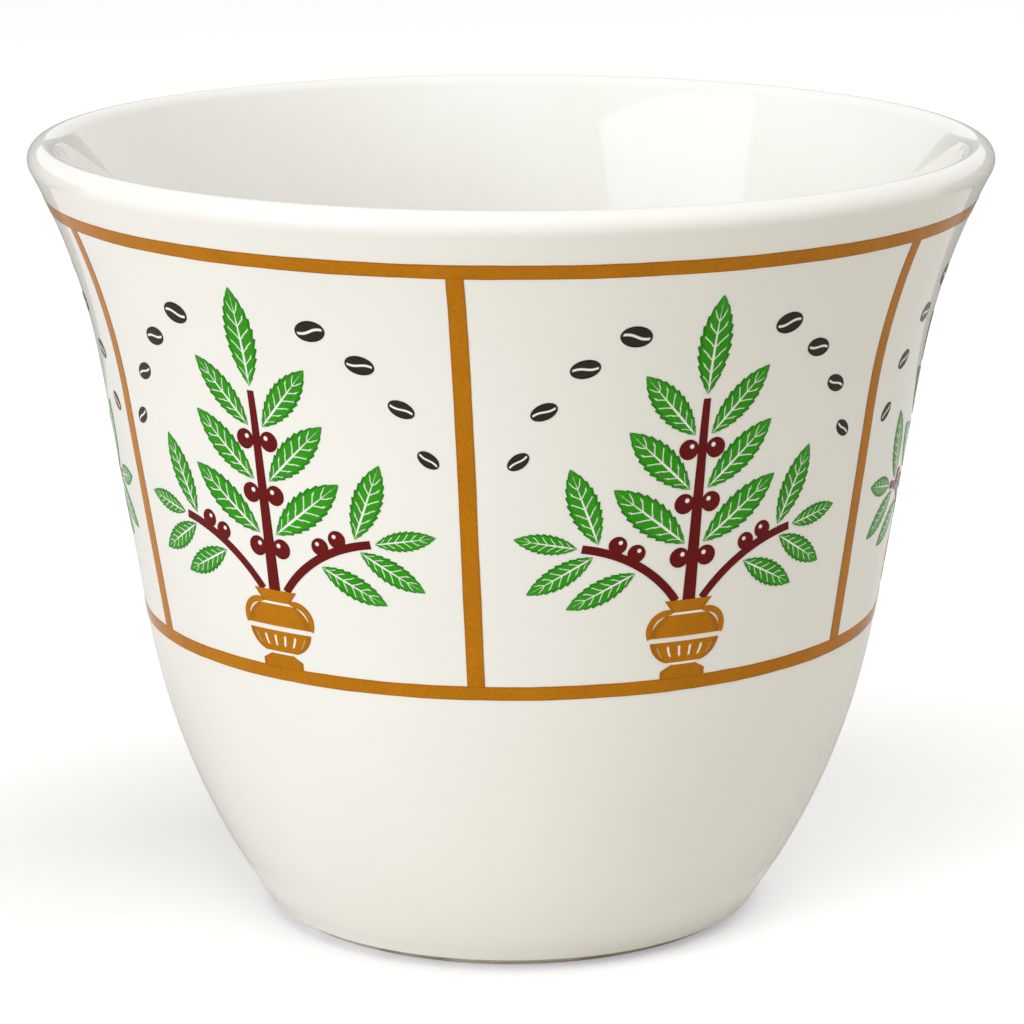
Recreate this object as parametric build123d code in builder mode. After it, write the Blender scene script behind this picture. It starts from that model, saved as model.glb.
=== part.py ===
"""A small handleless coffee cup: fired body, glaze and enamel transfers as separate pieces.

Millimetres and degrees. The origin is on the cup's axis where the foot ring stands, +Z is up and
the front of the cup faces -Y. Turns about the axis count from the front towards +X.
"""

import os
from math import atan2, cos, degrees, radians, sin, sqrt, tan

from build123d import *

# Outside of the glazed cup
rim_radius = 33.0
cup_height = 54.2
wall_thickness = 2.2  # glaze included; the lip is a full round of this width
waist_radius = 25.5  # foot of the straight wall
waist_height = 21.0
wall_length = 18.1
rim_flare = 2.39  # rim outside the line of the straight wall, whose lean follows from it
foot_radius = 16.9  # where the bowl would meet the table without its rounding

# Foot, floor and glaze
foot_round = 1.2
foot_ring_width = 2.6
recess_depth = 1.5
recess_draft = 12.0
floor_thickness = 3.2
floor_round = 7.0
glaze_thickness = 0.25
bare_foot = 0.3  # unglazed strip above the rounding of the foot
base_glaze_margin = 0.4

# Enamel lines
print_thickness = 0.08
line_width = 0.94
upper_line_drop = 3.35  # rim to the top edge of the line
lower_line_height = 21.36  # table to the bottom edge of the line
divider_width = 1.15
divider_lean = 0.65  # how far a divider drifts sideways from foot to top
divider_turns = (-64.6, -5.7, 56.6, 116.4, 176.2, 235.8)  # laid by hand, not quite even

# Sprig in a vase, drawn at this size and scaled to fill the narrowest panel inside these gaps
sky_gap = 1.6  # upper line to the top leaf
side_gap = 0.8  # divider to the widest leaf
leaf_gap = 0.3  # bare strip between a leaf and its stem
leaf_slimness = 0.37  # width of a leaf over its length
top_leaf = 6.7
first_node = 9.3  # lowest leaf pair above the foot of the vase
node_spacing = 3.65
node_count = 3
pair_leaf = 6.5  # lowest pair, shorter by pair_step at each node
pair_step = 0.4
pair_rise = 38.0  # lowest pair above the horizontal, steeper by rise_step at each node
rise_step = 5.0
stem_foot_width = 0.9
stem_tip_width = 0.5
stem_above_node = 2.4
spray_width = 0.55
spray_start = 0.95  # off the panel's middle, at the vase's mouth
spray_middle = (4.2, 2.9)  # from the middle of the vase's mouth
spray_reach = 7.48  # end of the spray from the panel's middle
spray_rise = 4.0  # end of the spray above the vase's mouth
spray_tip_leaf = 3.9
spray_tip_turn = 2.0
spray_leaves = ((0.44, -62.0, 4.8), (0.84, 52.0, 5.6), (0.84, -48.0, 4.6))  # place, turn, length
berry_radius = 0.68
berry_drop = 0.95  # below the node
berry_spread = 0.95
spray_berry_radius = 0.6
spray_berry_places = (0.52, 0.7)
spray_berry_rise = 0.75
bean_count = 4
bean_length = 2.1
bean_width = 1.4
bean_shrink = 0.105  # each bean is smaller than the one before it
bean_first_turn = 27.0  # from straight up
bean_turn_step = 17.0
bean_tilt = 35.0
bean_arc_height = 12.9  # middle of the beans' arc above the foot of the vase
bean_arc_radius = 11.95
vase_height = 5.4
vase_foot_half = 1.6
vase_foot_height = 0.5
vase_stem_half = 0.7
vase_stem_height = 1.0
vase_belly_half = 2.5
vase_belly_height = 2.7
vase_neck_half = 1.0
vase_neck_height = 4.5
vase_mouth_half = 1.7
vase_band_width = 0.35
vase_handle_width = 0.42
vase_handle_bulge = 0.75

# Section of the outside, as tangent curves: bowl, straight wall, flare and lip
lip_round = wall_thickness / 2
lip_centre = Vector(rim_radius - lip_round, cup_height - lip_round)
wall_foot = Vector(waist_radius, waist_height)
wall_up = (Vector(rim_radius - rim_flare, lip_centre.Y) - wall_foot).normalized()
wall_out = Vector(wall_up.Y, -wall_up.X)
wall_top = wall_foot + wall_up * wall_length
lip_to_wall = wall_top - lip_centre
flare_radius = (lip_to_wall.dot(lip_to_wall) - lip_round**2) / (2 * (lip_round - lip_to_wall.dot(wall_out)))
flare_centre = wall_top + wall_out * flare_radius
neck_out = (flare_centre - lip_centre).normalized()
neck_up = Vector(-neck_out.Y, neck_out.X)
bowl_drop = Vector(foot_radius, 0) - wall_foot
bowl_radius = bowl_drop.dot(bowl_drop) / (-2 * bowl_drop.dot(wall_out))
bowl_centre = wall_foot - wall_out * bowl_radius


def on_circle_beside(radius, height):
    """Point of the outer side of a circle about the bowl's centre, at a height."""
    rise = height - bowl_centre.Y
    return Vector(bowl_centre.X + sqrt(radius**2 - rise**2), height)


# Rounding of the foot on the body, and of the floor inside
body_bowl = bowl_radius - glaze_thickness
foot_centre = on_circle_beside(body_bowl - foot_round, foot_round)
foot_tangent = bowl_centre + (foot_centre - bowl_centre).normalized() * body_bowl
glaze_edge = foot_tangent.Y + bare_foot
floor_height = recess_depth + floor_thickness
inner_bowl = bowl_radius - wall_thickness
floor_centre = on_circle_beside(inner_bowl - floor_round, floor_height + floor_round)
floor_out = (floor_centre - bowl_centre).normalized()


def round_about(centre, start, end):
    """Arc of less than half a turn about a centre."""
    radius = (start - centre).length
    middle = centre + ((start + end) * 0.5 - centre).normalized() * radius
    ThreePointArc(start, middle, end)


def draw_outside(depth):
    """Outside of the cup from the glaze's edge to the neck, at a depth below the glazed surface."""
    low = on_circle_beside(bowl_radius - depth, glaze_edge)
    waist = wall_foot - wall_out * depth
    shoulder = wall_top - wall_out * depth
    neck = lip_centre + neck_out * (lip_round - depth)
    round_about(bowl_centre, low, waist)
    Line(waist, shoulder)
    round_about(flare_centre, shoulder, neck)


def draw_inside(depth):
    """Lip and inside of the cup from the neck to the middle of the floor, at a depth."""
    lip = lip_round - depth
    inset = wall_thickness - depth
    neck = lip_centre - neck_out * lip
    shoulder = wall_top - wall_out * inset
    waist = wall_foot - wall_out * inset
    corner = floor_centre + floor_out * (floor_round + depth)
    floor_edge = floor_centre - Vector(0, floor_round + depth)
    ThreePointArc(lip_centre + neck_out * lip, lip_centre + neck_up * lip, neck)
    round_about(flare_centre, neck, shoulder)
    Line(shoulder, waist)
    round_about(bowl_centre, waist, corner)
    round_about(floor_centre, corner, floor_edge)
    Line(floor_edge, (0, floor_edge.Y))


os.makedirs("parts", exist_ok=True)

# Fired porcelain body with its foot ring and shallow recess
ring_inner = foot_centre.X - foot_ring_width
recess_radius = ring_inner - recess_depth * tan(radians(recess_draft))
with BuildPart() as porcelain_body:
    with BuildSketch(Plane.XZ):
        with BuildLine():
            draw_outside(glaze_thickness)
            draw_inside(glaze_thickness)
            Polyline(
                (0, floor_height - glaze_thickness),
                (0, recess_depth),
                (recess_radius, recess_depth),
                (ring_inner, 0),
                (foot_centre.X, 0),
            )
            round_about(foot_centre, Vector(foot_centre.X, 0), foot_tangent)
            round_about(bowl_centre, foot_tangent, on_circle_beside(body_bowl, glaze_edge))
        make_face()
    revolve(axis=Axis.Z)
porcelain_body.part.label = "porcelain_body"
export_step(porcelain_body.part, "parts/porcelain_body.step")

# Clear glaze over the outside, the lip and the inside
with BuildPart() as glaze_coat:
    with BuildSketch(Plane.XZ):
        with BuildLine():
            draw_outside(0)
            draw_inside(0)
            draw_outside(glaze_thickness)
            draw_inside(glaze_thickness)
            Line((0, floor_height), (0, floor_height - glaze_thickness))
            Line(on_circle_beside(bowl_radius, glaze_edge), on_circle_beside(body_bowl, glaze_edge))
        make_face()
    revolve(axis=Axis.Z)
glaze_coat.part.label = "glaze_coat"
export_step(glaze_coat.part, "parts/glaze_coat.step")

# Glaze in the recess under the foot
with BuildPart() as base_glaze:
    with BuildSketch(Plane.XY.offset(recess_depth)):
        Circle(recess_radius - base_glaze_margin)
    extrude(amount=-glaze_thickness)
base_glaze.part.label = "base_glaze"
export_step(base_glaze.part, "parts/base_glaze.step")

# Film of enamel all round the outside, from which every print is cut
with BuildPart() as print_film:
    with BuildSketch(Plane.XZ):
        with BuildLine():
            draw_outside(0)
            draw_outside(-print_thickness)
            Line(lip_centre + neck_out * lip_round, lip_centre + neck_out * (lip_round + print_thickness))
            Line(
                on_circle_beside(bowl_radius, glaze_edge),
                on_circle_beside(bowl_radius + print_thickness, glaze_edge),
            )
        make_face()
    revolve(axis=Axis.Z)

# Two lines round the cup
reach = 2 * rim_radius
panel_floor = lower_line_height + line_width
panel_ceiling = cup_height - upper_line_drop - line_width
for line_name, line_foot in (("upper_line", panel_ceiling), ("lower_line", lower_line_height)):
    with BuildPart() as line:
        add(print_film.part)
        with BuildSketch(Plane.XY.offset(line_foot)):
            Circle(reach)
        extrude(amount=line_width, mode=Mode.INTERSECT)
    line.part.label = line_name
    export_step(line.part, f"parts/{line_name}.step")


def facing(turn):
    """Upright plane through the axis that faces out at a turn: x to the right, y up."""
    angle = radians(turn)
    return Plane((0, 0, 0), x_dir=(cos(angle), sin(angle), 0), z_dir=(sin(angle), -cos(angle), 0))


# Upright dividers between the lines
half_width = divider_width / 2
half_lean = divider_lean / 2
for number, turn in enumerate(divider_turns, start=1):
    with BuildPart() as divider:
        add(print_film.part)
        with BuildSketch(facing(turn)):
            with BuildLine():
                Polyline(
                    (half_lean - half_width, panel_floor),
                    (half_lean + half_width, panel_floor),
                    (half_width - half_lean, panel_ceiling),
                    (-half_width - half_lean, panel_ceiling),
                    close=True,
                )
            make_face()
        extrude(amount=reach, mode=Mode.INTERSECT)
    divider.part.label = f"divider_{number}"
    export_step(divider.part, f"parts/divider_{number}.step")

# Places on the flat of a panel: x from its middle, y from the top edge of the lower line
next_turns = divider_turns[1:] + (divider_turns[0] + 360,)
panel_turns = [(left + right) / 2 for left, right in zip(divider_turns, next_turns)]
narrowest = min(right - left for left, right in zip(divider_turns, next_turns))
panel_height = panel_ceiling - panel_floor
panel_plane = facing(0)
panel_plane.origin = (0, 0, panel_floor)


def panel_half(height):
    """Half the clear width of the narrowest panel, seen square on, at a height on the straight wall."""
    radius = waist_radius + (panel_floor + height - waist_height) * wall_up.X / wall_up.Y
    return radius * sin(radians(narrowest / 2)) - half_width - half_lean


def leaf(length):
    """Pointed leaf of two equal arcs, its base at the origin and its tip along x."""
    with BuildSketch() as blade:
        with BuildLine():
            ThreePointArc((0, 0), (length / 2, length * leaf_slimness / 2), (length, 0))
            ThreePointArc((length, 0), (length / 2, -length * leaf_slimness / 2), (0, 0))
        make_face()
    return blade.sketch


# Arched side stem from the vase's mouth out to its tip leaf
spray_height = vase_height + spray_rise
spray = ThreePointArc(
    (spray_start, vase_height),
    (spray_middle[0], vase_height + spray_middle[1]),
    (spray_reach, spray_height),
    mode=Mode.PRIVATE,
)


def spray_heading(place):
    """Angle of the spray above the horizontal, at a share of its length."""
    tangent = spray % place
    return degrees(atan2(tangent.Y, tangent.X))


nodes = [first_node + node_spacing * k for k in range(node_count)]
stem_height = nodes[-1] + stem_above_node
sprig_height = stem_height + leaf_gap + top_leaf
sprig_half = spray_reach + leaf_gap + spray_tip_leaf
sprig_scale = min((panel_height - sky_gap) / sprig_height, (panel_half(spray_height) - side_gap) / sprig_half)


def print_layer(drawing, *earlier):
    """Film of enamel in the shape of a drawing less earlier ones, scaled and set on the panel's plane."""
    with BuildPart() as layer:
        add(print_film.part)
        with BuildSketch(panel_plane):
            add(drawing)
            for printed in earlier:
                add(printed, mode=Mode.SUBTRACT)
            scale(by=sprig_scale)
        extrude(amount=reach, mode=Mode.INTERSECT)
    return layer.part


# Green leaves: pairs up the stem, the top leaf and the leaves of both sprays
with BuildSketch() as leaves:
    for k, node in enumerate(nodes):
        stem_half = (stem_foot_width + (stem_tip_width - stem_foot_width) * node / stem_height) / 2
        with Locations(Location((stem_half + leaf_gap, node), pair_rise + rise_step * k)):
            add(leaf(pair_leaf - pair_step * k))
    for place, turn, length in spray_leaves:
        heading = spray_heading(place) + turn
        base = spray @ place + Vector(1, 0).rotate(Axis.Z, heading) * (spray_width / 2 + leaf_gap)
        with Locations(Location((base.X, base.Y), heading)):
            add(leaf(length))
    tip = spray @ 1 + (spray % 1) * leaf_gap
    with Locations(Location((tip.X, tip.Y), spray_heading(1) + spray_tip_turn)):
        add(leaf(spray_tip_leaf))
    mirror(about=Plane.YZ)
    with Locations(Location((0, stem_height + leaf_gap), 90)):
        add(leaf(top_leaf))

# Maroon stems with their berries
with BuildSketch() as stems:
    with BuildLine():
        add(spray)
    trace(line_width=spray_width)
    for node in nodes:
        with Locations((berry_spread, node - berry_drop)):
            Circle(berry_radius)
    for place in spray_berry_places:
        berry = spray @ place
        with Locations((berry.X, berry.Y + spray_berry_rise)):
            Circle(spray_berry_radius)
    mirror(about=Plane.YZ)
    with BuildLine():
        Polyline(
            (-stem_foot_width / 2, vase_height),
            (stem_foot_width / 2, vase_height),
            (stem_tip_width / 2, stem_height),
            (-stem_tip_width / 2, stem_height),
            close=True,
        )
    make_face()

# Black coffee beans in an arc round the top of the sprig
with BuildSketch() as beans:
    for k in range(bean_count):
        turn = bean_first_turn + bean_turn_step * k
        size = 1 - bean_shrink * k
        x = bean_arc_radius * sin(radians(turn))
        y = bean_arc_height + bean_arc_radius * cos(radians(turn))
        with Locations(Location((x, y), bean_tilt - turn)):
            Ellipse(bean_length / 2 * size, bean_width / 2 * size)
    mirror(about=Plane.YZ)

# Ochre vase with two handles and a bare band round its belly
with BuildSketch() as vase:
    with BuildLine():
        neck = Vector(vase_neck_half, vase_neck_height)
        belly = Vector(vase_belly_half, vase_belly_height)
        middle = (neck + belly) * 0.5
        outwards = Vector(neck.Y - belly.Y, belly.X - neck.X).normalized()
        ThreePointArc(neck, middle + outwards * vase_handle_bulge, belly)
    trace(line_width=vase_handle_width)
    with BuildLine():
        Polyline(
            (vase_stem_half, vase_stem_height),
            (vase_foot_half, vase_foot_height),
            (vase_foot_half, 0),
            (0, 0),
            (0, vase_height),
            (vase_mouth_half, vase_height),
            (vase_neck_half, vase_neck_height),
        )
        ThreePointArc(neck, belly, (vase_stem_half, vase_stem_height))
    make_face()
    with Locations((0, vase_belly_height)):
        Rectangle(4 * vase_belly_half, vase_band_width, mode=Mode.SUBTRACT)
    mirror(about=Plane.YZ)

# Every panel carries the four colours as separate prints, each left out where an earlier one lies
layers = {
    "vase": print_layer(vase.sketch),
    "stems": print_layer(stems.sketch, vase.sketch),
    "leaves": print_layer(leaves.sketch, vase.sketch, stems.sketch),
    "beans": print_layer(beans.sketch, vase.sketch, stems.sketch, leaves.sketch),
}
for number, turn in enumerate(panel_turns, start=1):
    for layer_name, layer in layers.items():
        with BuildPart() as panel_print:
            add(layer, rotation=(0, 0, turn))
        panel_print.part.label = f"panel_{number}_{layer_name}"
        export_step(panel_print.part, f"parts/panel_{number}_{layer_name}.step")
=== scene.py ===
"""Looks of a small handleless coffee cup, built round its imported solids.

Metres. The frame is that of the solids: the origin is on the cup's axis where the foot ring stands,
+Z is up and the front of the cup faces -Y. Turns about the axis count from the front towards +X.
"""

import logging
from dataclasses import dataclass, field
from enum import Enum
from functools import cached_property
from math import atan2, cos, pi, radians, sin, sqrt

import bpy
import numpy as np
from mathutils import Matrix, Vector


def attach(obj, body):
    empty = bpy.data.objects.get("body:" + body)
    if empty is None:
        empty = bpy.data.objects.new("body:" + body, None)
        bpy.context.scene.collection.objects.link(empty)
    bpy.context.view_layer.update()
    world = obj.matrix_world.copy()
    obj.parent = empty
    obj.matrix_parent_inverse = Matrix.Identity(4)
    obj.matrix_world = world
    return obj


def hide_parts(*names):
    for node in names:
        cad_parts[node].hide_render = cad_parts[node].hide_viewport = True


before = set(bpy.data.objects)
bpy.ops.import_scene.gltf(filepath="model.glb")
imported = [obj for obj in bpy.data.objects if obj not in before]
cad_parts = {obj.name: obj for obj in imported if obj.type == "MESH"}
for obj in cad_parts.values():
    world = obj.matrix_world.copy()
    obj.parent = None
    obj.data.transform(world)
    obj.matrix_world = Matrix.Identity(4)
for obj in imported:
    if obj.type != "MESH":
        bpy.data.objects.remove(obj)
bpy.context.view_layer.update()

MM = 0.001
BODY = "root"
UV_LAYER = "drawing"
MATT = 0.9  # roughness of the studio's paper
LOG = logging.getLogger("coffee_cup")

Socket = bpy.types.NodeSocket
Colour = tuple[float, float, float]

# Columns of a print's grid from one edge to the other, closer together near the edges
LINE_COLUMNS = np.array([0, 0.08, 0.3, 0.5, 0.7, 0.92, 1])
BLADE_COLUMNS = np.array([-1, -0.9, -0.6, -0.3, 0, 0.3, 0.6, 0.9, 1])
STEM_COLUMNS = np.array([-1, -0.8, 0, 0.8, 1])


class Slot(Enum):
    """Material slots of the record."""

    PORCELAIN = "porcelain"
    GLAZE = "glaze"
    OCHRE = "ochre_enamel"
    GREEN = "green_enamel"
    MAROON = "maroon_enamel"
    BLACK = "black_enamel"


class Motif(Enum):
    """What a print draws, and so where it leaves the white glaze bare."""

    LINE = "line"
    LEAF = "leaf"
    BERRY = "berry"
    BEAN = "bean"
    VASE = "vase"


def spread(first: np.ndarray, second: np.ndarray) -> np.ndarray:
    """Joins two arrays of one grid, spread to its full shape, as pairs in the last axis."""
    return np.stack(np.broadcast_arrays(first, second), axis=-1)


def unit(angle: np.ndarray | float) -> np.ndarray:
    """Unit vectors (cos a, sin a) in the last axis, for angles in radians."""
    return np.stack([np.cos(angle), np.sin(angle)], axis=-1)


def rotated(x: np.ndarray, y: np.ndarray, degrees: float) -> np.ndarray:
    """Flat points turned about the origin: (x cos a - y sin a, x sin a + y cos a).

    Args:
        x: Distances to the right.
        y: Distances upwards.
        degrees: The turn, against the clock.

    Returns:
        The turned points, in the last axis.
    """
    angle = radians(degrees)
    return np.stack([x * cos(angle) - y * sin(angle), x * sin(angle) + y * cos(angle)], axis=-1)


def arc(centre: np.ndarray, start: np.ndarray, end: np.ndarray, count: int) -> np.ndarray:
    """Points of an arc of less than half a turn: centre plus radius times (cos a, sin a).

    Args:
        centre: Middle of the arc.
        start: First point, which also gives the radius.
        end: A point in the direction of the last point.
        count: How many points.

    Returns:
        Array of (count, 2) points.
    """
    first = np.arctan2(*(start - centre)[::-1])
    turn = (np.arctan2(*(end - centre)[::-1]) - first + pi) % (2 * pi) - pi
    angles = first + turn * np.linspace(0, 1, count)
    return centre + np.linalg.norm(start - centre) * unit(angles)


def circle_through(first: np.ndarray, second: np.ndarray, third: np.ndarray) -> np.ndarray:
    """Centre of the circle through three points, where the middle lines of two chords cross.

    Args:
        first: A point of the circle.
        second: Another point.
        third: The last point.

    Returns:
        The centre.
    """
    chords = np.array([second - first, third - second])
    middles = np.array([(first + second) / 2, (second + third) / 2])
    return np.linalg.solve(chords, (chords * middles).sum(axis=1))


@dataclass(frozen=True)
class CupSection:
    """Section of the cup: bowl arc, straight wall, flare arc and full-round lip, all tangent."""

    rim_radius: float = 33.0 * MM
    cup_height: float = 54.2 * MM
    wall_thickness: float = 2.2 * MM
    waist_radius: float = 25.5 * MM
    waist_height: float = 21.0 * MM
    wall_length: float = 18.1 * MM
    rim_flare: float = 2.39 * MM
    foot_radius: float = 16.9 * MM
    foot_round: float = 1.2 * MM
    foot_ring_width: float = 2.6 * MM
    recess_depth: float = 1.5 * MM
    recess_draft: float = radians(12.0)
    floor_thickness: float = 3.2 * MM
    floor_round: float = 7.0 * MM
    glaze_thickness: float = 0.25 * MM
    bare_foot: float = 0.3 * MM
    base_glaze_margin: float = 0.4 * MM

    @cached_property
    def lip_round(self) -> float:
        """Radius of the lip."""
        return self.wall_thickness / 2

    @cached_property
    def lip_centre(self) -> np.ndarray:
        """Middle of the lip's round."""
        return np.array([self.rim_radius - self.lip_round, self.cup_height - self.lip_round])

    @cached_property
    def wall_foot(self) -> np.ndarray:
        """Where the straight wall starts."""
        return np.array([self.waist_radius, self.waist_height])

    @cached_property
    def wall_up(self) -> np.ndarray:
        """Direction of the straight wall, whose line passes inside the rim by the flare."""
        run = np.array([self.rim_radius - self.rim_flare, self.lip_centre[1]]) - self.wall_foot
        return run / np.linalg.norm(run)

    @cached_property
    def wall_out(self) -> np.ndarray:
        """Outward normal of the straight wall."""
        return np.array([self.wall_up[1], -self.wall_up[0]])

    @cached_property
    def wall_top(self) -> np.ndarray:
        """Where the straight wall ends."""
        return self.wall_foot + self.wall_up * self.wall_length

    @cached_property
    def flare_radius(self) -> float:
        """Radius of the flare, tangent to the wall and to the lip's round."""
        gap = self.wall_top - self.lip_centre
        return (gap @ gap - self.lip_round**2) / (2 * (self.lip_round - gap @ self.wall_out))

    @cached_property
    def flare_centre(self) -> np.ndarray:
        """Middle of the flare, outside the cup."""
        return self.wall_top + self.wall_out * self.flare_radius

    @cached_property
    def neck_out(self) -> np.ndarray:
        """Direction from the lip's middle to where the flare meets the lip."""
        run = self.flare_centre - self.lip_centre
        return run / np.linalg.norm(run)

    @cached_property
    def bowl_radius(self) -> float:
        """Radius of the bowl, tangent to the wall and through the foot."""
        drop = np.array([self.foot_radius, 0]) - self.wall_foot
        return (drop @ drop) / (-2 * (drop @ self.wall_out))

    @cached_property
    def bowl_centre(self) -> np.ndarray:
        """Middle of the bowl's arc."""
        return self.wall_foot - self.wall_out * self.bowl_radius

    def beside_bowl(self, radius: float, height: float) -> np.ndarray:
        """Outer point, at a height, of a circle about the bowl's middle.

        Args:
            radius: Radius of the circle.
            height: Height above the table.

        Returns:
            The point as (distance from the axis, height).
        """
        return np.array([self.bowl_centre[0] + sqrt(radius**2 - (height - self.bowl_centre[1]) ** 2), height])

    @cached_property
    def foot_centre(self) -> np.ndarray:
        """Middle of the rounding of the foot."""
        return self.beside_bowl(self.bowl_radius - self.glaze_thickness - self.foot_round, self.foot_round)

    @cached_property
    def foot_tangent(self) -> np.ndarray:
        """Where the rounding of the foot meets the bowl of the body."""
        run = self.foot_centre - self.bowl_centre
        return self.bowl_centre + run / np.linalg.norm(run) * (self.bowl_radius - self.glaze_thickness)

    @cached_property
    def glaze_edge(self) -> float:
        """Height at which the glaze stops above the foot."""
        return self.foot_tangent[1] + self.bare_foot

    @cached_property
    def floor_height(self) -> float:
        """Height of the glazed floor inside."""
        return self.recess_depth + self.floor_thickness

    @cached_property
    def floor_centre(self) -> np.ndarray:
        """Middle of the rounding between the floor and the wall inside."""
        return self.beside_bowl(
            self.bowl_radius - self.wall_thickness - self.floor_round, self.floor_height + self.floor_round
        )

    @cached_property
    def recess_radius(self) -> float:
        """Radius of the ceiling of the recess under the foot."""
        return self.foot_centre[0] - self.foot_ring_width - self.recess_depth * np.tan(self.recess_draft)

    def outside(self, depth: float, fine: int) -> np.ndarray:
        """Outside from the glaze's edge to the neck: bowl arc, straight wall and flare arc.

        Args:
            depth: Depth below the glazed surface.
            fine: Points along each of the three stretches.

        Returns:
            Points from the bottom up.
        """
        low = self.beside_bowl(self.bowl_radius - depth, self.glaze_edge)
        waist = self.wall_foot - self.wall_out * depth
        shoulder = self.wall_top - self.wall_out * depth
        neck = self.lip_centre + self.neck_out * (self.lip_round - depth)
        wall = waist + np.linspace(0, 1, fine)[:, None] * (shoulder - waist)
        bowl = arc(self.bowl_centre, low, waist, fine)
        flare = arc(self.flare_centre, shoulder, neck, fine)
        return np.vstack([bowl[:-1], wall[:-1], flare])

    def inside(self, depth: float, fine: int) -> np.ndarray:
        """Lip and inside: half round, flare arc, straight wall, bowl arc, floor rounding and flat floor.

        Args:
            depth: Depth below the glazed surface.
            fine: Points along each stretch.

        Returns:
            Points from the neck over the lip and down to the middle of the floor.
        """
        lip = self.lip_round - depth
        inset = self.wall_thickness - depth
        start = atan2(self.neck_out[1], self.neck_out[0])
        angles = start + pi * np.linspace(0, 1, fine)
        rounded = self.lip_centre + lip * unit(angles)
        shoulder = self.wall_top - self.wall_out * inset
        waist = self.wall_foot - self.wall_out * inset
        run = self.floor_centre - self.bowl_centre
        corner = self.floor_centre + run / np.linalg.norm(run) * (self.floor_round + depth)
        floor_edge = self.floor_centre - np.array([0, self.floor_round + depth])
        wall = shoulder + np.linspace(0, 1, fine)[:, None] * (waist - shoulder)
        floor = floor_edge * np.linspace(1, 0, fine)[:, None] * [1, 0] + [0, floor_edge[1]]
        stretches = [
            rounded,
            arc(self.flare_centre, rounded[-1], shoulder, fine),
            wall,
            arc(self.bowl_centre, waist, corner, fine),
            arc(self.floor_centre, corner, floor_edge, fine),
        ]
        return np.vstack([stretch[:-1] for stretch in stretches] + [floor])

    def skin(self, height: np.ndarray) -> tuple[np.ndarray, np.ndarray]:
        """Glazed outside at given heights, on the bowl, the straight wall or the flare.

        Args:
            height: Heights above the table.

        Returns:
            Distances from the axis, and outward normals as (radial, upward) in the last axis.
        """
        bowl_rise = height - self.bowl_centre[1]
        flare_rise = height - self.flare_centre[1]
        bowl = self.bowl_centre[0] + np.sqrt(np.maximum(self.bowl_radius**2 - bowl_rise**2, 0))
        flare = self.flare_centre[0] - np.sqrt(np.maximum(self.flare_radius**2 - flare_rise**2, 0))
        wall = self.waist_radius + (height - self.waist_height) * self.wall_up[0] / self.wall_up[1]
        curved = [height < self.waist_height, height > self.wall_top[1]]
        bowl_normal = np.stack([bowl - self.bowl_centre[0], bowl_rise]) / self.bowl_radius
        flare_normal = np.stack([self.flare_centre[0] - flare, -flare_rise]) / self.flare_radius
        radial = np.select(curved, [bowl_normal[0], flare_normal[0]], self.wall_out[0])
        upward = np.select(curved, [bowl_normal[1], flare_normal[1]], self.wall_out[1])
        return np.select(curved, [bowl, flare], wall), np.stack([radial, upward], axis=-1)

    def off_skin(self, angle: np.ndarray, height: np.ndarray, lift: float) -> np.ndarray:
        """Points that stand off the glaze along its normal.

        Args:
            angle: Turns about the axis in radians.
            height: Heights of the points' feet on the glaze.
            lift: Distance above the glaze.

        Returns:
            Points with x, y and z in the last axis.
        """
        radius, normal = self.skin(height)
        out = radius + normal[..., 0] * lift
        return np.stack([out * np.sin(angle), -out * np.cos(angle), height + normal[..., 1] * lift], axis=-1)

    def wrap(self, across: np.ndarray, height: np.ndarray, turn: float, lift: float) -> np.ndarray:
        """Lays a flat drawing on the outside, straight onto the wall along the direction that it faces.

        A point keeps its sideways distance and height; its turn grows by the arc sine of that distance
        over the cup's radius at that height, and it stands off along the normal by the lift.

        Args:
            across: Sideways distances from the middle of the drawing.
            height: Heights above the table.
            turn: Turn in degrees that the drawing faces.
            lift: Distance above the glaze.

        Returns:
            Points with x, y and z in the last axis.
        """
        radius, _ = self.skin(height)
        angle = radians(turn) + np.arcsin(np.clip(across / radius, -1, 1))
        return self.off_skin(angle, height, lift)


def linked(name: str, data: bpy.types.ID) -> bpy.types.Object:
    """Makes an object at the origin and links it to the scene.

    Args:
        name: Name of the object.
        data: Its mesh, lamp or camera.

    Returns:
        The object.
    """
    made = bpy.data.objects.new(name, data)
    bpy.context.scene.collection.objects.link(made)
    return made


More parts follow.
